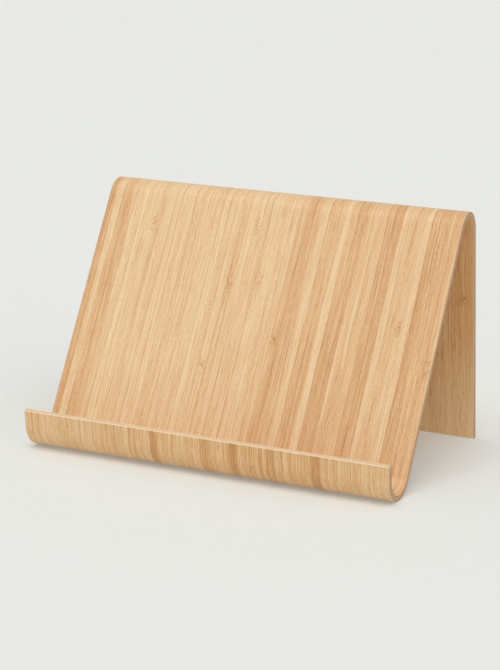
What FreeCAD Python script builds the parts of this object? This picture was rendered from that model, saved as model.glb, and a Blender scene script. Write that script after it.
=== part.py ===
import FreeCAD, Part
import math
import os

# Phone and tablet stand bent from one sheet of five-ply bamboo laminate.
# Sizes in mm. +X runs along the width, the user faces -Y, +Z is up.
# The origin is on the floor, at the middle of the footprint.

# sheet
width = 260.0              # along the bends
height = 165.0             # floor to the crown of the top bend
face_ply = 0.6             # each bamboo face veneer
cross_ply = 0.95           # each ply next to a face, grain along the width
core = 0.95                # middle ply

# side profile
front_bend_radius = 15.0   # concave side of the channel that holds the device
top_bend_radius = 11.5     # concave side under the crown
lip_straight = 11.0        # flat of the lip above the front bend
lip_lean = 7.0             # degrees the lip leans out from vertical
back_angle = 59.0          # degrees the backrest rises from the floor
leg_lean = 8.0             # degrees the rear leg leans back from vertical

# faces are laid up from edge-glued strips
strip_count = 25
strip_width = width / strip_count
arris_share = 0.75         # outer edges are rounded by this share of a face veneer
arris = arris_share * face_ply

thickness = 2 * face_ply + 2 * cross_ply + core

lip_heading = math.radians(lip_lean - 90.0)
back_heading = math.radians(back_angle)
leg_heading = math.radians(leg_lean - 90.0)

# length of the flat backrest that brings the crown to the stated height
bend_span = front_bend_radius + top_bend_radius + thickness
back_straight = (height - bend_span - thickness
                 + bend_span * math.cos(back_heading)) / math.sin(back_heading)


def along(heading):
    """Unit vector in the side plane at an angle above +Y."""
    return FreeCAD.Vector(0, math.cos(heading), math.sin(heading))


def left_of(heading):
    """Unit normal on the display side of a sheet that runs at this heading."""
    return FreeCAD.Vector(0, -math.sin(heading), math.cos(heading))


def bend_centres():
    """Centres of the front and top bends with the front one above y = 0."""
    front = FreeCAD.Vector(0, 0, front_bend_radius + thickness)
    top = (front - left_of(back_heading) * bend_span
           + along(back_heading) * back_straight)
    return front, top


def footprint_middle():
    """Middle between the tip of the lip and the back of the foot."""
    front, top = bend_centres()
    tip = (front - left_of(lip_heading) * (front_bend_radius + thickness)
           - along(lip_heading) * lip_straight)
    crown_end = top + left_of(leg_heading) * (top_bend_radius + thickness)
    heel = crown_end.y + crown_end.z * math.tan(math.radians(leg_lean))
    return (tip.y + heel) / 2


shift = FreeCAD.Vector(0, -footprint_middle(), 0)
front_centre, top_centre = [centre + shift for centre in bend_centres()]


def sheet_line(depth):
    """Edges from the lip tip to the floor at a depth below the display face."""
    front_r = front_bend_radius + depth
    top_r = top_bend_radius + thickness - depth

    lip_end = front_centre - left_of(lip_heading) * front_r
    lip_tip = lip_end - along(lip_heading) * lip_straight
    lowest = front_centre - left_of(0) * front_r
    back_start = front_centre - left_of(back_heading) * front_r
    back_end = top_centre + left_of(back_heading) * top_r
    crown = top_centre + left_of(0) * top_r
    leg_start = top_centre + left_of(leg_heading) * top_r
    foot = leg_start + along(leg_heading) * (leg_start.z / math.cos(math.radians(leg_lean)))

    return [Part.LineSegment(lip_tip, lip_end).toShape(),
            Part.Arc(lip_end, lowest, back_start).toShape(),
            Part.LineSegment(back_start, back_end).toShape(),
            Part.Arc(back_end, crown, leg_start).toShape(),
            Part.LineSegment(leg_start, foot).toShape()]


def bent_band(top_depth, bottom_depth, left, right):
    """One bent layer between two depths and two positions along the width."""
    upper = sheet_line(top_depth)
    lower = sheet_line(bottom_depth)
    tip = Part.LineSegment(upper[0].Vertexes[0].Point, lower[0].Vertexes[0].Point)
    foot = Part.LineSegment(upper[-1].Vertexes[1].Point, lower[-1].Vertexes[1].Point)
    outline = Part.Wire(Part.__sortEdges__(upper + lower + [tip.toShape(), foot.toShape()]))
    band = Part.Face(outline).extrude(FreeCAD.Vector(right - left, 0, 0))
    band.translate(FreeCAD.Vector(left, 0, 0))
    return band


def outer_edges(band, depth, side):
    """Edges of a face strip that stay exposed on the corner of the sheet."""
    backrest = top_centre + left_of(back_heading) * (top_bend_radius + thickness - depth)
    tip = front_centre - left_of(lip_heading) * (front_bend_radius + depth)
    tip = tip - along(lip_heading) * lip_straight
    picked = []
    for edge in band.Edges:
        middle = edge.valueAt((edge.FirstParameter + edge.LastParameter) / 2)
        on_side = side and abs(middle.x - side * width / 2) < 1e-6
        on_back = abs((middle - backrest).dot(left_of(back_heading))) < 1e-6
        along_back = abs(edge.Length - back_straight) < 1e-6
        on_tip = math.hypot(middle.y - tip.y, middle.z - tip.z) < 1e-6
        if (on_side and on_back and along_back) or on_tip:
            picked.append(edge)
    return picked


def face_strip(index, outer_depth, inner_depth):
    """Bamboo strip that runs in one length from the lip over the crown to the foot."""
    left = -width / 2 + index * strip_width
    low, high = sorted((outer_depth, inner_depth))
    band = bent_band(low, high, left, left + strip_width)
    side = {0: -1, strip_count - 1: 1}.get(index, 0)
    return band.makeFillet(arris, outer_edges(band, outer_depth, side))


def save(shape, name):
    if not shape.isValid() or len(shape.Solids) != 1:
        raise ValueError(name + " is not one closed solid")
    shape.exportStep("parts/" + name + ".step")


os.makedirs("parts", exist_ok=True)

front_cross_top = face_ply
core_top = front_cross_top + cross_ply
rear_cross_top = core_top + core
under_top = rear_cross_top + cross_ply

save(bent_band(front_cross_top, core_top, -width / 2, width / 2), "front_cross_ply")
save(bent_band(core_top, rear_cross_top, -width / 2, width / 2), "core_ply")
save(bent_band(rear_cross_top, under_top, -width / 2, width / 2), "rear_cross_ply")

for index in range(strip_count):
    number = "%02d" % (index + 1)
    save(face_strip(index, 0.0, face_ply), "display_strip_" + number)
    save(face_strip(index, thickness, under_top), "under_strip_" + number)
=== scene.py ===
import math
import random

import bpy
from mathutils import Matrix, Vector


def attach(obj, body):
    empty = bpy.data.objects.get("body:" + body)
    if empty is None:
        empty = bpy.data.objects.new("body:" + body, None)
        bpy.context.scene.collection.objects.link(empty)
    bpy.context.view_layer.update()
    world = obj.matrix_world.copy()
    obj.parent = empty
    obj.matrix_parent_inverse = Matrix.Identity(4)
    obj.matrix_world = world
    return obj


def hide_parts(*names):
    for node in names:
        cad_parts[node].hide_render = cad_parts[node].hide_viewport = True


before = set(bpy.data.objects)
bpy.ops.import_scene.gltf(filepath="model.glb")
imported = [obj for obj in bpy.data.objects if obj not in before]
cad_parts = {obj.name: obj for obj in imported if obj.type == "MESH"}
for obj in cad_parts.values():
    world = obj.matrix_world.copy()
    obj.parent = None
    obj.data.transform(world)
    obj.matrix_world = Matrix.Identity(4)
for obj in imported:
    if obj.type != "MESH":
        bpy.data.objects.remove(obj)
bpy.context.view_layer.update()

print("frame loaded:", len(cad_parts), "CAD nodes")

# The bent sheet in metres. It has one side profile all along its width.
sheet = {
    "width": 0.260,
    "height": 0.165,
    "facePly": 0.0006,
    "crossPly": 0.00095,
    "corePly": 0.00095,
    "frontRadius": 0.015,  # concave side of the front bend
    "topRadius": 0.0115,  # concave side under the crown
    "lipLength": 0.011,  # flat part of the lip
    "lipLean": 7.0,  # degrees out from vertical
    "backAngle": 59.0,  # degrees up from the floor
    "legLean": 8.0,  # degrees back from vertical
    "arris": 0.00045,  # rounding of the sheet's outer edges
    "seamEase": 0.00003,  # softened edge of each strip at a seam
    "roundSteps": 4,
    "bendStep": 3.0,  # degrees of bend in one facet
    "flatStep": 0.012,  # length of one facet on the straights
    "softTurn": 8.0,  # facets that turn by less than this shade as one
    "ringSlack": 0.00001,  # tolerance for the rings at the foot
}
sheetThickness = 2 * sheet["facePly"] + 2 * sheet["crossPly"] + sheet["corePly"]
lipDown = sheet["lipLean"] - 90
backUp = sheet["backAngle"]
legDown = sheet["legLean"] - 90


def heading(degrees):
    return Vector((0, math.cos(math.radians(degrees)), math.sin(math.radians(degrees))))


def displaySide(degrees):
    return heading(degrees + 90)


def bendCentres():
    span = sheet["frontRadius"] + sheet["topRadius"] + sheetThickness
    rise = sheet["height"] - span - sheetThickness + span * math.cos(math.radians(backUp))
    backLength = rise / math.sin(math.radians(backUp))
    front = Vector((0, 0, sheet["frontRadius"] + sheetThickness))
    top = front - displaySide(backUp) * span + heading(backUp) * backLength
    # slide both so that the footprint is centred on the origin
    outerRadius = sheet["frontRadius"] + sheetThickness
    lipTip = front - displaySide(lipDown) * outerRadius - heading(lipDown) * sheet["lipLength"]
    legTop = top + displaySide(legDown) * (sheet["topRadius"] + sheetThickness)
    heelY = legTop.y + legTop.z * math.tan(math.radians(sheet["legLean"]))
    slide = Vector((0, -(lipTip.y + heelY) / 2, 0))
    return front + slide, top + slide


frontCentre, topCentre = bendCentres()


def straightRun(start, end):
    steps = max(1, round((end - start).length / sheet["flatStep"]))
    return [start.lerp(end, i / steps) for i in range(steps)]


def bendRun(centre, radius, fromAngle, toAngle):
    steps = max(1, round(abs(toAngle - fromAngle) / sheet["bendStep"]))
    angles = [fromAngle + (toAngle - fromAngle) * i / steps for i in range(steps)]
    return [centre + displaySide(angle) * radius for angle in angles]


def layerPath(name, depth):
    # from the tip of the lip to the floor, at a depth below the display face
    frontRadius = sheet["frontRadius"] + depth
    topRadius = sheet["topRadius"] + sheetThickness - depth
    lipEnd = frontCentre - displaySide(lipDown) * frontRadius
    lipTip = lipEnd - heading(lipDown) * sheet["lipLength"]
    backStart = frontCentre - displaySide(backUp) * frontRadius
    backEnd = topCentre + displaySide(backUp) * topRadius
    legStart = topCentre + displaySide(legDown) * topRadius
    foot = legStart + heading(legDown) * legStart.z / math.cos(math.radians(sheet["legLean"]))

    # close rings at both ends leave room to round them
    quarter = [math.pi / 2 * i / sheet["roundSteps"] for i in range(sheet["roundSteps"] + 1)]
    ringGaps = [sheet["arris"] * (1 - math.cos(angle)) for angle in quarter]
    points = [lipTip + heading(lipDown) * gap for gap in ringGaps[:-1]]
    points += straightRun(lipTip + heading(lipDown) * ringGaps[-1], lipEnd)
    points += bendRun(frontCentre, -frontRadius, lipDown, backUp)
    points += straightRun(backStart, backEnd)
    points += bendRun(topCentre, topRadius, backUp, legDown)
    points += straightRun(legStart, foot - heading(legDown) * ringGaps[-1])
    points += [foot - heading(legDown) * gap for gap in reversed(ringGaps)]

    curve = bpy.data.curves.new(name, "CURVE")
    curve.dimensions = "3D"
    spline = curve.splines.new("POLY")
    spline.points.add(len(points) - 1)
    for splinePoint, place in zip(spline.points, points):
        splinePoint.co = (*place, 1)
    path = bpy.data.objects.new(name, curve)
    bpy.context.scene.collection.objects.link(path)
    return path


def addNode(tree, kind, inputs=None, **settings):
    node = tree.nodes.new(kind)
    for key, value in settings.items():
        setattr(node, key, value)
    for key, value in (inputs or {}).items():
        if isinstance(value, bpy.types.NodeSocket):
            tree.links.new(value, node.inputs[key])
        else:
            node.inputs[key].default_value = value
    return node


def calc(tree, operation, first, second=None, third=None, clamp=False):
    inputs = {i: v for i, v in enumerate((first, second, third)) if v is not None}
    return addNode(tree, "ShaderNodeMath", inputs, operation=operation, use_clamp=clamp).outputs[0]


def keep(tree, geometry, name, value, dataType="FLOAT", domain="POINT"):
    store = addNode(tree, "GeometryNodeStoreNamedAttribute", {"Geometry": geometry, "Name": name},
                    data_type=dataType, domain=domain)
    tree.links.new(value, store.inputs["Value"])
    return store.outputs[0]


def recall(tree, name, dataType="FLOAT"):
    return addNode(tree, "GeometryNodeInputNamedAttribute", {"Name": name}, data_type=dataType).outputs[0]


def layerTree():
    # Bends a row of edge-glued strips along the path curve. One strip makes a plain ply.
    tree = bpy.data.node_groups.new("bentLayer", "GeometryNodeTree")
    sockets = tree.interface
    sockets.new_socket(name="Geometry", in_out="INPUT", socket_type="NodeSocketGeometry")
    for name in ("Layer Width", "Layer Thickness", "Seam Ease", "Edge Round", "Outer Side"):
        sockets.new_socket(name=name, in_out="INPUT", socket_type="NodeSocketFloat")
    for name in ("Strip Count", "Round Steps"):
        sockets.new_socket(name=name, in_out="INPUT", socket_type="NodeSocketInt")
    sockets.new_socket(name="Material", in_out="INPUT", socket_type="NodeSocketMaterial")
    sockets.new_socket(name="Geometry", in_out="OUTPUT", socket_type="NodeSocketGeometry")
    given = addNode(tree, "NodeGroupInput").outputs
    stripWidth = calc(tree, "DIVIDE", given["Layer Width"], given["Strip Count"])

    # remember where each ring of the sweep lies on the path
    spline = addNode(tree, "GeometryNodeSplineParameter").outputs
    splineLength = addNode(tree, "GeometryNodeSplineLength").outputs["Length"]
    tangent = addNode(tree, "GeometryNodeInputTangent").outputs[0]
    path = keep(tree, given["Geometry"], "run", spline["Length"])
    path = keep(tree, path, "toFoot", calc(tree, "SUBTRACT", splineLength, spline["Length"]))
    path = keep(tree, path, "pathHeading", tangent, "FLOAT_VECTOR")

    def stripShape(leftRound, rightRound):
        outline = addNode(tree, "GeometryNodeCurvePrimitiveQuadrilateral",
                          {"Width": stripWidth, "Height": given["Layer Thickness"]}).outputs[0]
        place = addNode(tree, "ShaderNodeSeparateXYZ",
                        {0: addNode(tree, "GeometryNodeInputPosition").outputs[0]}).outputs
        isOuter = calc(tree, "GREATER_THAN", calc(tree, "MULTIPLY", place["Y"], given["Outer Side"]), 0.0)
        isRight = calc(tree, "GREATER_THAN", place["X"], 0.0)
        radius = addNode(tree, "GeometryNodeSwitch", {"Switch": isRight, "False": leftRound,
                         "True": rightRound}, input_type="FLOAT").outputs[0]
        rounded = addNode(tree, "GeometryNodeFilletCurve",
                          {"Curve": outline, "Count": given["Round Steps"], "Limit Radius": True,
                           "Radius": calc(tree, "MULTIPLY", radius, isOuter)}, mode="POLY").outputs[0]
        profile = keep(tree, rounded, "across", place["X"])
        profile = keep(tree, profile, "deep", place["Y"])
        swept = addNode(tree, "GeometryNodeCurveToMesh",
                        {"Curve": path, "Profile Curve": profile, "Fill Caps": True}).outputs[0]
        return addNode(tree, "GeometryNodeGeometryToInstance", {0: swept}).outputs[0]

    leftStrip = stripShape(given["Edge Round"], given["Seam Ease"])
    innerStrip = stripShape(given["Seam Ease"], given["Seam Ease"])
    rightStrip = stripShape(given["Seam Ease"], given["Edge Round"])
    kinds = addNode(tree, "GeometryNodeJoinGeometry")
    for strip in (rightStrip, innerStrip, leftStrip):
        tree.links.new(strip, kinds.inputs[0])

    # one point for each strip, from the left edge to the right
    firstX = calc(tree, "MULTIPLY", calc(tree, "SUBTRACT", stripWidth, given["Layer Width"]), 0.5)
    start = addNode(tree, "ShaderNodeCombineXYZ", {"X": firstX}).outputs[0]
    step = addNode(tree, "ShaderNodeCombineXYZ", {"X": stripWidth}).outputs[0]
    row = addNode(tree, "GeometryNodeMeshLine", {"Count": given["Strip Count"], "Start Location": start,
                                                 "Offset": step}).outputs[0]
    index = addNode(tree, "GeometryNodeInputIndex").outputs[0]
    lastIndex = calc(tree, "SUBTRACT", given["Strip Count"], 1.0)
    isPastFirst = calc(tree, "GREATER_THAN", index, 0.5)
    isLast = calc(tree, "GREATER_THAN", index, calc(tree, "SUBTRACT", lastIndex, 0.5))
    kindIndex = calc(tree, "MULTIPLY", isPastFirst, calc(tree, "ADD", isPastFirst, isLast))
    laid = addNode(tree, "GeometryNodeInstanceOnPoints",
                   {"Points": row, "Instance": kinds.outputs[0], "Pick Instance": True,
                    "Instance Index": kindIndex}).outputs[0]
    laid = keep(tree, laid, "lamella", index, "INT", "INSTANCE")
    solid = addNode(tree, "GeometryNodeRealizeInstances", {0: laid}).outputs[0]

    # round the outer edge at both ends, and cut the foot level with the floor
    run, toFoot, deep = (recall(tree, name) for name in ("run", "toFoot", "deep"))
    pathHeading = recall(tree, "pathHeading", "FLOAT_VECTOR")
    inward = addNode(tree, "ShaderNodeVectorMath", {0: pathHeading, 1: (1.0, 0.0, 0.0)},
                     operation="CROSS_PRODUCT").outputs[0]
    toEnd = calc(tree, "MINIMUM", run, toFoot)
    short = calc(tree, "MAXIMUM", calc(tree, "SUBTRACT", given["Edge Round"], toEnd), 0.0)
    roundSquared = calc(tree, "MULTIPLY", given["Edge Round"], given["Edge Round"])
    height = calc(tree, "SQRT", calc(tree, "MAXIMUM", calc(tree, "SUBTRACT", roundSquared,
                  calc(tree, "MULTIPLY", short, short)), 0.0))
    inset = calc(tree, "SUBTRACT", given["Edge Round"], height)
    onOuter = calc(tree, "GREATER_THAN", calc(tree, "MULTIPLY", deep, given["Outer Side"]), 0.0)
    inset = calc(tree, "MULTIPLY", calc(tree, "MULTIPLY", inset, onOuter), given["Outer Side"])
    outset = calc(tree, "MULTIPLY", inset, -1.0)
    insetMove = addNode(tree, "ShaderNodeVectorMath", {0: inward, "Scale": outset},
                        operation="SCALE").outputs[0]
    atFoot = calc(tree, "LESS_THAN", toFoot, sheet["arris"] + sheet["ringSlack"])
    inwardZ = addNode(tree, "ShaderNodeSeparateXYZ", {0: inward}).outputs["Z"]
    headingZ = addNode(tree, "ShaderNodeSeparateXYZ", {0: pathHeading}).outputs["Z"]
    newDeep = calc(tree, "SUBTRACT", deep, inset)
    slideBy = calc(tree, "DIVIDE", calc(tree, "MULTIPLY", newDeep, inwardZ),
                   calc(tree, "MULTIPLY", headingZ, -1.0))
    footSlide = calc(tree, "MULTIPLY", slideBy, atFoot)
    footMove = addNode(tree, "ShaderNodeVectorMath", {0: pathHeading, "Scale": footSlide},
                       operation="SCALE").outputs[0]
    move = addNode(tree, "ShaderNodeVectorMath", {0: insetMove, 1: footMove}, operation="ADD").outputs[0]
    solid = addNode(tree, "GeometryNodeSetPosition", {"Geometry": solid, "Offset": move}).outputs[0]

    # the grain map runs across and along the flat sheet, and turns over its edges
    placeX = addNode(tree, "ShaderNodeSeparateXYZ",
                     {0: addNode(tree, "GeometryNodeInputPosition").outputs[0]}).outputs["X"]
    grain = addNode(tree, "ShaderNodeCombineXYZ",
                    {"X": calc(tree, "ADD", placeX, deep), "Y": calc(tree, "ADD", run, deep)}).outputs[0]
    solid = keep(tree, solid, "grainMap", grain, "FLOAT2", "CORNER")
    edgeAngle = addNode(tree, "GeometryNodeInputMeshEdgeAngle").outputs[0]
    isSoft = calc(tree, "LESS_THAN", edgeAngle, math.radians(sheet["softTurn"]))
    solid = addNode(tree, "GeometryNodeSetShadeSmooth",
                    {"Geometry": solid, "Shade Smooth": isSoft}, domain="EDGE").outputs[0]
    solid = addNode(tree, "GeometryNodeSetMaterial",
                    {"Geometry": solid, "Material": given["Material"]}).outputs[0]
    addNode(tree, "NodeGroupOutput", {0: solid})
    return tree


bentLayer = layerTree()


def bendLayer(name, depth, thickness, material, stripCount=1, outerSide=0.0, edgeRound=0.0,
              seamEase=0.0):
    path = layerPath(name + "Path", depth + thickness / 2)
    modifier = path.modifiers.new("bentLayer", "NODES")
    modifier.node_group = bentLayer
    values = {"Layer Width": sheet["width"], "Layer Thickness": thickness, "Strip Count": stripCount,
              "Seam Ease": seamEase, "Edge Round": edgeRound, "Outer Side": outerSide,
              "Round Steps": sheet["roundSteps"], "Material": material}
    for socket in bentLayer.interface.items_tree:
        if socket.in_out == "INPUT" and socket.name in values:
            modifier[socket.identifier] = values[socket.name]
    bpy.context.view_layer.update()
    evaluated = path.evaluated_get(bpy.context.evaluated_depsgraph_get())
    mesh = bpy.data.meshes.new_from_object(evaluated)
    mesh.name = name
    path.modifiers.clear()
    bpy.data.objects.remove(path)
    mesh.attributes.remove(mesh.attributes["pathHeading"])
    piece = bpy.data.objects.new(name, mesh)
    bpy.context.scene.collection.objects.link(piece)
    return piece


def giveLamellas(piece, look):
    # each lamella gets its own tone, grain offset and knuckle
    dice = random.Random(look["seed"])
    count = look["lamellas"]
    tones = [look["tone"] + look["toneSpread"] * dice.uniform(-1, 1) for i in range(count)]
    starts = [dice.random() for i in range(count)]
    leans = [dice.uniform(-1, 1) for i in range(count)]
    knuckles = [dice.uniform(*look["knuckleRange"]) for i in range(count)]
    strengths = [look["faintKnuckle"] * dice.random() ** 3 for i in range(count)]
    for first, last, tone in look["bands"]:
        for i in range(first, last + 1):
            tones[i] = tone + look["bandSpread"] * look["toneSpread"] * dice.uniform(-1, 1)
    for i, place in look["knuckles"].items():
        knuckles[i] = place
        strengths[i] = 1.0
    mesh = piece.data
    owner = [0] * len(mesh.vertices)
    mesh.attributes["lamella"].data.foreach_get("value", owner)
    for name, values in (("tone", tones), ("start", starts), ("toneLean", leans),
                         ("knuckleAt", knuckles), ("knuckle", strengths)):
        attribute = mesh.attributes.new(name, "FLOAT", "POINT")
        attribute.data.foreach_set("value", [values[i] for i in owner])


def newMaterial(name):
    material = bpy.data.materials.new(name)
    material.use_nodes = True
    material.node_tree.nodes.clear()
    return material, material.node_tree


def noise(tree, vector, scale, detail=2.0, roughness=0.5):
    stretched = addNode(tree, "ShaderNodeVectorMath", {0: vector, 1: scale},
                        operation="MULTIPLY").outputs[0]
    return addNode(tree, "ShaderNodeTexNoise", {"Vector": stretched, "Scale": 1.0, "Detail": detail,
                   "Roughness": roughness}).outputs[0]


def swing(tree, value, amount):
    return calc(tree, "MULTIPLY", calc(tree, "SUBTRACT", value, 0.5), amount)


def bell(tree, distance, width):
    ratio = calc(tree, "DIVIDE", distance, width)
    return calc(tree, "EXPONENT", calc(tree, "MULTIPLY", calc(tree, "MULTIPLY", ratio, ratio), -1.0))


def attributeValue(tree, name):
    return addNode(tree, "ShaderNodeAttribute", attribute_name=name).outputs["Fac"]


def edgeMask(tree, distance, width):
    return addNode(tree, "ShaderNodeMapRange", {"Value": distance, "From Min": 0.0, "From Max": width,
                   "To Min": 1.0, "To Max": 0.0}).outputs[0]


# Noise waves in a metre of veneer: across the lamella, along it, and from one lamella to the next
grainScale = {
    "wobble": (420.0, 120.0, 1.0),
    "swerve": (260.0, 260.0, 1.0),
    "upset": (950.0, 480.0, 1.0),
    "fibre": (1500.0, 9.0, 1.0),
    "fineFibre": (2200.0, 36.0, 1.0),
    "speckle": (2600.0, 420.0, 1.0),
    "wideBand": (260.0, 5.0, 1.0),
    "drift": (25.0, 9.0, 1.0),
    "dash": (2200.0, 110.0, 1.0),
    "startShift": 3.0,
    "layerGap": 40.0,
}


def bambooMaterial(name, look):
    material, tree = newMaterial(name)
    grainMap = addNode(tree, "ShaderNodeUVMap", uv_map="grainMap").outputs[0]
    across, along, _ = addNode(tree, "ShaderNodeSeparateXYZ", {0: grainMap}).outputs
    tone, start, toneLean, knuckleAt, knuckle, inLamella, toFoot, run = (
        attributeValue(tree, n) for n in ("tone", "start", "toneLean", "knuckleAt", "knuckle", "across",
                                          "toFoot", "run"))
    halfLamella = sheet["width"] / look["lamellas"] / 2
    shiftedAlong = calc(tree, "ADD", along, calc(tree, "MULTIPLY", start, grainScale["startShift"]))
    layer = calc(tree, "MULTIPLY", start, grainScale["layerGap"])

    # a knuckle is a soft patch across the lamella where the fibres swerve and darken
    patchPlace = addNode(tree, "ShaderNodeCombineXYZ",
                         {"X": across, "Y": shiftedAlong, "Z": layer}).outputs[0]
    wobble = swing(tree, noise(tree, patchPlace, grainScale["wobble"], 2.0), look["knuckleWobble"])
    away = calc(tree, "ADD", calc(tree, "SUBTRACT", along, knuckleAt), wobble)
    patch = calc(tree, "MULTIPLY", bell(tree, away, look["knuckleLength"]),
                 bell(tree, inLamella, halfLamella * 0.9))
    patch = calc(tree, "MULTIPLY", patch, knuckle)
    swerve = swing(tree, noise(tree, patchPlace, grainScale["swerve"], 1.0), look["knuckleSwerve"])
    bentAcross = calc(tree, "ADD", across, calc(tree, "MULTIPLY", swerve, patch))
    fibrePlace = addNode(tree, "ShaderNodeCombineXYZ",
                         {"X": bentAcross, "Y": shiftedAlong, "Z": layer}).outputs[0]
    upset = noise(tree, fibrePlace, grainScale["upset"], 3.0, 0.7)
    knuckleTone = calc(tree, "MULTIPLY", calc(tree, "ADD", swing(tree, upset, 2.6), 0.16), patch)
    knuckleTone = calc(tree, "MULTIPLY", knuckleTone, look["knuckleTone"])

    fibre = noise(tree, fibrePlace, grainScale["fibre"], 3.0, 0.6)
    fineFibre = noise(tree, fibrePlace, grainScale["fineFibre"], 2.0, 0.6)
    speckle = noise(tree, fibrePlace, grainScale["speckle"], 1.0)
    wideBand = noise(tree, fibrePlace, grainScale["wideBand"], 2.0)
    drift = noise(tree, patchPlace, grainScale["drift"], 1.0)
    dash = noise(tree, fibrePlace, grainScale["dash"], 1.0)
    dashMask = addNode(tree, "ShaderNodeMapRange",
                       {"Value": dash, "From Min": 0.6, "From Max": 0.75}).outputs[0]

    seamGap = calc(tree, "SUBTRACT", halfLamella, calc(tree, "ABSOLUTE", inLamella))
    seamDark = calc(tree, "MULTIPLY", start, look["seam"])
    seam = calc(tree, "MULTIPLY", edgeMask(tree, seamGap, look["seamWidth"]), seamDark)

    value = calc(tree, "ADD", tone, swing(tree, fibre, look["fibre"]))
    value = calc(tree, "ADD", value, swing(tree, fineFibre, look["fineFibre"]))
    value = calc(tree, "ADD", value, swing(tree, speckle, look["speckle"]))
    value = calc(tree, "ADD", value, swing(tree, wideBand, look["wideBand"]))
    # painted light: paler towards the foot, where the table lights the leg from below
    value = calc(tree, "SUBTRACT", value,
                 calc(tree, "MULTIPLY", bell(tree, toFoot, look["footReach"]), look["footPaintedLight"]))
    # painted shade: darker along the leg, which lies in the shadow under the backrest
    value = calc(tree, "ADD", value,
                 calc(tree, "MULTIPLY", bell(tree, toFoot, look["legReach"]), look["legPaintedShade"]))
    value = calc(tree, "ADD", value, swing(tree, drift, look["drift"]))
    lean = calc(tree, "MULTIPLY", toneLean, look["toneLean"] / halfLamella)
    value = calc(tree, "ADD", value, calc(tree, "MULTIPLY", inLamella, lean))
    value = calc(tree, "ADD", value, calc(tree, "MULTIPLY", dashMask, look["dash"]))
    value = calc(tree, "ADD", value, knuckleTone)
    value = calc(tree, "ADD", value, seam, clamp=True)
    ramp = addNode(tree, "ShaderNodeValToRGB", {0: value})
    for i, (position, colour) in enumerate(look["colours"]):
        stop = ramp.color_ramp.elements[i] if i < 2 else ramp.color_ramp.elements.new(position)
        stop.position = position
        stop.color = (*colour, 1)

    # the cut edges at both sides are darker than the faces
    normal = addNode(tree, "ShaderNodeNewGeometry").outputs["Normal"]
    normalX = addNode(tree, "ShaderNodeSeparateXYZ", {0: normal}).outputs["X"]
    isSide = addNode(tree, "ShaderNodeMapRange", {"Value": calc(tree, "ABSOLUTE", normalX),
                     "From Min": 0.8, "From Max": 0.97}).outputs[0]
    edgeShare = calc(tree, "MULTIPLY", isSide, look["edgeMix"])
    colour = addNode(tree, "ShaderNodeMix", {"Factor": edgeShare, "A": ramp.outputs[0],
                     "B": (*look["edgeColour"], 1)}, data_type="RGBA").outputs["Result"]

    # painted highlight: the rounded edges at the lip and the foot are painted paler, the long sides a
    # little, and the underside of the front bend where it nears the floor gets a painted reflection of the
    # table
    placeX = addNode(tree, "ShaderNodeSeparateXYZ",
                     {0: addNode(tree, "ShaderNodeTexCoord").outputs["Object"]}).outputs["X"]
    toSide = calc(tree, "SUBTRACT", sheet["width"] / 2, calc(tree, "ABSOLUTE", placeX))
    toEnd = calc(tree, "MINIMUM", run, toFoot)
    paintedHighlight = calc(tree, "MAXIMUM",
                  calc(tree, "MULTIPLY", edgeMask(tree, toEnd, look["highlightWidth"]), look["endHighlight"]),
                  calc(tree, "MULTIPLY", edgeMask(tree, toSide, look["highlightWidth"]), look["sideHighlight"]))
    heel = bell(tree, calc(tree, "SUBTRACT", run, look["heelAt"]), look["heelWidth"])
    paintedHighlight = calc(tree, "MAXIMUM", paintedHighlight, calc(tree, "MULTIPLY", heel, look["heelPaintedReflection"]))
    isFace = calc(tree, "SUBTRACT", 1.0, isSide)
    paintedHighlight = calc(tree, "MULTIPLY", paintedHighlight, isFace)
    colour = addNode(tree, "ShaderNodeMix", {"Factor": paintedHighlight, "A": colour, "B": (*look["highlightColour"], 1)},
                     data_type="RGBA").outputs["Result"]

    height = calc(tree, "ADD", swing(tree, fibre, 0.6), swing(tree, fineFibre, 0.5))
    height = calc(tree, "SUBTRACT", height, calc(tree, "MULTIPLY", seam, 1.2))
    height = calc(tree, "SUBTRACT", height, calc(tree, "MULTIPLY", dashMask, 0.25))
    height = calc(tree, "ADD", height, calc(tree, "MULTIPLY", knuckleTone, 0.8))
    bump = addNode(tree, "ShaderNodeBump", {"Strength": look["bump"], "Distance": look["bumpDepth"],
                                                  "Height": height})
    roughness = calc(tree, "ADD", look["roughness"], swing(tree, fibre, 0.14))
    coat = calc(tree, "MULTIPLY", isFace, look["coat"])
    specular = calc(tree, "ADD", 0.1, calc(tree, "MULTIPLY", isFace, 0.4))
    shader = addNode(tree, "ShaderNodeBsdfPrincipled", {
        "Base Color": colour, "Roughness": roughness, "Normal": bump.outputs[0],
        "Coat Weight": coat, "Coat Roughness": look["coatRoughness"], "Specular IOR Level": specular,
        "Sheen Weight": calc(tree, "MULTIPLY", isFace, look["sheen"]),
        "Sheen Roughness": look["sheenRoughness"]})
    addNode(tree, "ShaderNodeOutputMaterial", {0: shader.outputs[0]})
    return material


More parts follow.
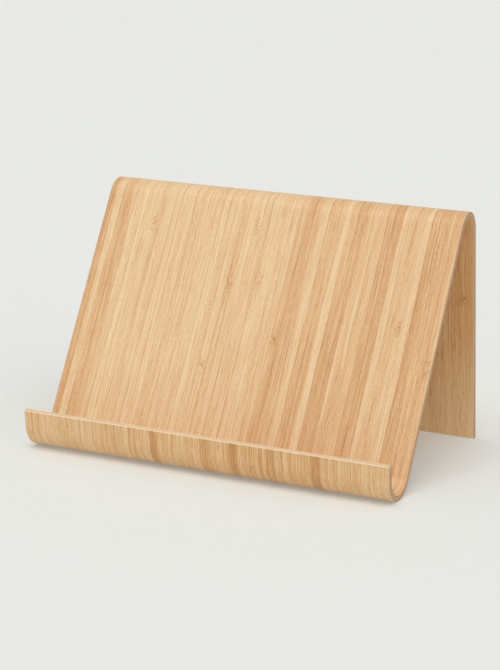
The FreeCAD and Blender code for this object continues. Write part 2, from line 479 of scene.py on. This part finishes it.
def plyMaterial(name, look):
    # seen only where the sheet's edges are cut
    material, tree = newMaterial(name)
    grainMap = addNode(tree, "ShaderNodeUVMap", uv_map="grainMap").outputs[0]
    cells = noise(tree, grainMap, look["cells"], 3.0, 0.6)
    streaks = noise(tree, grainMap, look["streaks"], 2.0)
    fromMiddle = calc(tree, "ABSOLUTE", attributeValue(tree, "deep"))
    glueGap = calc(tree, "SUBTRACT", look["thickness"] / 2, fromMiddle)
    glue = calc(tree, "MULTIPLY", edgeMask(tree, glueGap, look["glueWidth"]), look["glue"])
    value = calc(tree, "ADD", 0.5, swing(tree, cells, look["cellTone"]))
    value = calc(tree, "ADD", value, swing(tree, streaks, look["streakTone"]), clamp=True)
    colour = addNode(tree, "ShaderNodeMix", {"Factor": value, "A": (*look["pale"], 1),
                     "B": (*look["dark"], 1)}, data_type="RGBA").outputs["Result"]
    colour = addNode(tree, "ShaderNodeMix", {"Factor": glue, "A": colour, "B": (*look["glueColour"], 1)},
                     data_type="RGBA").outputs["Result"]

    # cut across the grain the wood is darker than cut along it
    normal = addNode(tree, "ShaderNodeNewGeometry").outputs["Normal"]
    normalX = addNode(tree, "ShaderNodeSeparateXYZ", {0: normal}).outputs["X"]
    isSide = calc(tree, "GREATER_THAN", calc(tree, "ABSOLUTE", normalX), 0.7)
    sideDark = calc(tree, "MULTIPLY", isSide, look["sideShade"] - look["tipShade"])
    shade = calc(tree, "ADD", look["tipShade"], sideDark)
    colour = addNode(tree, "ShaderNodeMix", {"Factor": shade, "A": colour, "B": (*look["endGrain"], 1)},
                     data_type="RGBA").outputs["Result"]
    bump = addNode(tree, "ShaderNodeBump", {"Strength": look["bump"], "Distance": look["bumpDepth"],
                                                  "Height": cells})
    shader = addNode(tree, "ShaderNodeBsdfPrincipled", {
        "Base Color": colour, "Roughness": calc(tree, "ADD", look["roughness"], swing(tree, cells, 0.15)),
        "Normal": bump.outputs[0], "Specular IOR Level": 0.15})
    addNode(tree, "ShaderNodeOutputMaterial", {0: shader.outputs[0]})
    return material


# Display face: pale bamboo with a few caramel lamellas
heelTurn = 68.0  # degrees round the front bend, just before it meets the floor
displayVeneer = {
    "lamellas": 50,
    "seed": 7,
    "tone": 0.30,
    "toneSpread": 0.045,
    "bands": [(0, 0, 0.62), (1, 1, 0.22), (2, 3, 0.5), (5, 5, 0.22), (17, 17, 0.24), (28, 29, 0.52),
              (30, 30, 0.4), (32, 33, 0.47), (35, 36, 0.56), (37, 39, 0.42), (40, 41, 0.6), (44, 44, 0.44),
              (46, 46, 0.6), (47, 49, 0.5)],
    "toneLean": 0.05,
    "bandSpread": 0.4,
    "knuckles": {7: 0.199, 19: 0.101, 20: 0.162, 22: 0.204, 24: 0.167, 28: 0.126, 44: 0.144, 49: 0.121},
    "knuckleRange": (0.02, 0.40),  # along the sheet, for the lamellas with a faint one
    "faintKnuckle": 0.6,
    "colours": [(0.0, (0.87, 0.66, 0.38)), (0.25, (0.80, 0.552, 0.302)), (0.6, (0.71, 0.402, 0.174)),
                (1.0, (0.50, 0.23, 0.068))],
    "fibre": 1.15,
    "fineFibre": 1.1,
    "speckle": 0.55,
    "wideBand": 0.3,
    "drift": 0.25,
    "dash": 0.32,
    "knuckleTone": 1.2,
    "knuckleLength": 0.006,
    "knuckleWobble": 0.006,
    "knuckleSwerve": 0.012,
    "seam": 0.55,
    "seamWidth": 0.00035,
    "edgeMix": 0.8,
    "edgeColour": (0.42, 0.24, 0.13),
    # painted highlight: the rounded edges at the ends and the sides are painted paler
    "endHighlight": 0.75,
    "sideHighlight": 0.15,
    "highlightWidth": 0.0007,
    "highlightColour": (0.93, 0.75, 0.55),
    "bump": 0.3,
    "bumpDepth": 0.0001,
    "roughness": 0.45,
    "coat": 0.3,
    "coatRoughness": 0.38,
    "sheen": 0.35,
    "sheenRoughness": 0.25,
    "footPaintedLight": 0.0,
    "footReach": 0.07,
    "legPaintedShade": 0.0,
    "legReach": 0.2,
    "heelAt": sheet["lipLength"] + (sheet["frontRadius"] + sheetThickness) * math.radians(heelTurn),
    "heelWidth": 0.004,
    "heelPaintedReflection": 0.0,
}
bambooDisplay = bambooMaterial("bambooDisplay", displayVeneer)
displayStrips = bendLayer("displayStrips", 0.0, sheet["facePly"], bambooDisplay,
                          displayVeneer["lamellas"], -1.0, sheet["arris"], sheet["seamEase"])
giveLamellas(displayStrips, displayVeneer)
print("display face:", len(displayStrips.data.polygons), "faces")

# Under face: a shade darker, with finer lines
underVeneer = dict(displayVeneer)
underVeneer.update({
    "seed": 19,
    "tone": 0.41,
    "toneSpread": 0.06,
    "bands": [(0, 5, 0.29), (6, 6, 0.36), (7, 10, 0.28), (11, 14, 0.34), (15, 15, 0.58), (18, 18, 0.74),
              (25, 25, 0.66), (29, 29, 0.8), (34, 34, 0.62), (39, 39, 0.6), (40, 40, 0.78),
              (41, 43, 0.34), (44, 44, 0.4), (45, 49, 0.31)],
    "knuckles": {11: 0.045, 33: 0.05, 48: 0.307},
    # painted light from the table, paler towards the foot
    "footPaintedLight": 0.4,
    # painted shade along the leg under the backrest
    "legPaintedShade": 0.28,
    # painted reflection of the table under the front bend
    "heelPaintedReflection": 0.7,
    "fibre": 1.35,
    "dash": 0.42,
    "colours": [(0.0, (0.88, 0.64, 0.355)), (0.25, (0.825, 0.553, 0.288)), (0.6, (0.735, 0.398, 0.152)),
                (1.0, (0.50, 0.235, 0.062))],
})
bambooUnder = bambooMaterial("bambooUnder", underVeneer)
underStrips = bendLayer("underStrips", sheetThickness - sheet["facePly"], sheet["facePly"], bambooUnder,
                        underVeneer["lamellas"], 1.0, sheet["arris"], sheet["seamEase"])
giveLamellas(underStrips, underVeneer)
print("under face:", len(underStrips.data.polygons), "faces")

# Inner plies: end grain in the two cross plies, long grain in the core
crossPlies = {
    "thickness": sheet["crossPly"],
    "cells": (2200.0, 1500.0, 1.0),
    "streaks": (400.0, 90.0, 1.0),
    "cellTone": 1.0,
    "streakTone": 0.6,
    "pale": (0.88, 0.67, 0.45),
    "dark": (0.74, 0.51, 0.31),
    "sideShade": 0.68,
    "tipShade": 0.0,
    "glue": 0.6,
    "glueWidth": 0.00012,
    "glueColour": (0.26, 0.13, 0.08),
    "endGrain": (0.30, 0.16, 0.09),
    "bump": 0.3,
    "bumpDepth": 0.0001,
    "roughness": 0.55,
}
corePly = dict(crossPlies)
corePly.update({
    "thickness": sheet["corePly"],
    "cells": (3000.0, 40.0, 1.0),
    "sideShade": 0.42,
    "tipShade": 0.2,
})
crossGrain = plyMaterial("crossGrain", crossPlies)
coreGrain = plyMaterial("coreGrain", corePly)
plyDepth = sheet["facePly"]
innerPlies = []
for plyName, plySize, plyFinish in (("frontCrossPly", "crossPly", crossGrain),
                                    ("corePly", "corePly", coreGrain),
                                    ("rearCrossPly", "crossPly", crossGrain)):
    innerPlies.append(bendLayer(plyName, plyDepth, sheet[plySize], plyFinish))
    plyDepth += sheet[plySize]
print("inner plies:", [ply.name for ply in innerPlies])

# Every piece belongs to the one body and stands for its CAD nodes
cadStrips = 25  # each stands for two lamellas
stripNumbers = ["%02d" % (i + 1) for i in range(cadStrips)]
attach(displayStrips, "root")
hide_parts(*["display_strip_" + number for number in stripNumbers])
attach(underStrips, "root")
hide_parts(*["under_strip_" + number for number in stripNumbers])
for ply, node, slot in zip(innerPlies, ("front_cross_ply", "core_ply", "rear_cross_ply"),
                           ("cross_ply", "core_ply", "cross_ply")):
    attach(ply, "root")
    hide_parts(node)
print("pieces placed")

# Plain pale table, soft studio light
studio = {
    "floorColour": (0.65, 0.66, 0.63),
    "floorMottle": (0.73, 0.73, 0.71),
    # the table top glows: painted light that lifts the shadows on and under the stand
    "floorGlow": 0.15,
    "glowColour": (1.0, 1.01, 0.97),
    "floorHalf": 9.0,
    "skyColour": (1.0, 1.0, 1.0),
    "skyStrength": 0.58,
    "keyFrom": (-6.0, 70.0),  # degrees round from the front and up from the floor
    "keyStrength": 1.05,
    "keySoftness": 42.0,
    "fillFrom": (50.0, 46.0),
    "fillStrength": 0.5,
    "fillSoftness": 50.0,
}


def makeFloor():
    half = studio["floorHalf"]
    mesh = bpy.data.meshes.new("tableTop")
    corners = [(-half, -half, 0), (half, -half, 0), (half, half, 0), (-half, half, 0)]
    mesh.from_pydata(corners, [], [(0, 1, 2, 3)])
    floor = bpy.data.objects.new("tableTop", mesh)
    bpy.context.scene.collection.objects.link(floor)
    material, tree = newMaterial("palePaint")
    place = addNode(tree, "ShaderNodeTexCoord").outputs["Object"]
    speckle = noise(tree, place, (60.0, 60.0, 60.0), 4.0)
    tint = addNode(tree, "ShaderNodeMix", {"Factor": calc(tree, "MULTIPLY", speckle, 0.1),
                   "A": (*studio["floorColour"], 1), "B": (*studio["floorMottle"], 1)},
                   data_type="RGBA").outputs["Result"]
    # the emission is painted light that lightens the table's shadows
    shader = addNode(tree, "ShaderNodeBsdfPrincipled", {
        "Base Color": tint, "Roughness": 0.8, "Specular IOR Level": 0.2,
        "Emission Color": (*studio["glowColour"], 1), "Emission Strength": studio["floorGlow"]})
    addNode(tree, "ShaderNodeOutputMaterial", {0: shader.outputs[0]})
    mesh.materials.append(material)


def addSoftLight(name, direction, strength, softness):
    light = bpy.data.lights.new(name, "SUN")
    light.energy = strength
    light.angle = math.radians(softness)
    lamp = bpy.data.objects.new(name, light)
    turn, rise = (math.radians(angle) for angle in direction)
    toLight = Vector((math.sin(turn) * math.cos(rise), -math.cos(turn) * math.cos(rise), math.sin(rise)))
    lamp.rotation_euler = toLight.to_track_quat("Z", "Y").to_euler()
    bpy.context.scene.collection.objects.link(lamp)


makeFloor()
addSoftLight("keyLight", studio["keyFrom"], studio["keyStrength"], studio["keySoftness"])
addSoftLight("fillLight", studio["fillFrom"], studio["fillStrength"], studio["fillSoftness"])
sky = bpy.data.worlds.new("softRoom")
sky.use_nodes = True
sky.node_tree.nodes["Background"].inputs[0].default_value = (*studio["skyColour"], 1)
sky.node_tree.nodes["Background"].inputs[1].default_value = studio["skyStrength"]
bpy.context.scene.world = sky
bpy.context.scene.view_settings.view_transform = "Standard"

camera = {
    "target": Vector((0.0030, -0.0166, 0.0806)),
    "azimuth": 24.3,
    "elevation": 14.5,
    "distance": 1.353,
    "roll": 1.11,
    "lens": 109.5,
}


def aimCamera():
    data = bpy.data.cameras.new("camera")
    data.lens = camera["lens"]
    data.sensor_width = 36.0
    data.clip_end = 50.0
    lens = bpy.data.objects.new("camera", data)
    bpy.context.scene.collection.objects.link(lens)
    azimuth, elevation = math.radians(camera["azimuth"]), math.radians(camera["elevation"])
    back = Vector((math.sin(azimuth) * math.cos(elevation), -math.cos(azimuth) * math.cos(elevation),
                   math.sin(elevation)))
    lens.location = camera["target"] + back * camera["distance"]
    aim = (-back).to_track_quat("-Z", "Y").to_matrix().to_4x4()
    lens.rotation_euler = aim.to_euler()
    lens.rotation_euler.rotate_axis("Z", math.radians(camera["roll"]))
    bpy.context.scene.camera = lens


aimCamera()
print("camera and lights set")
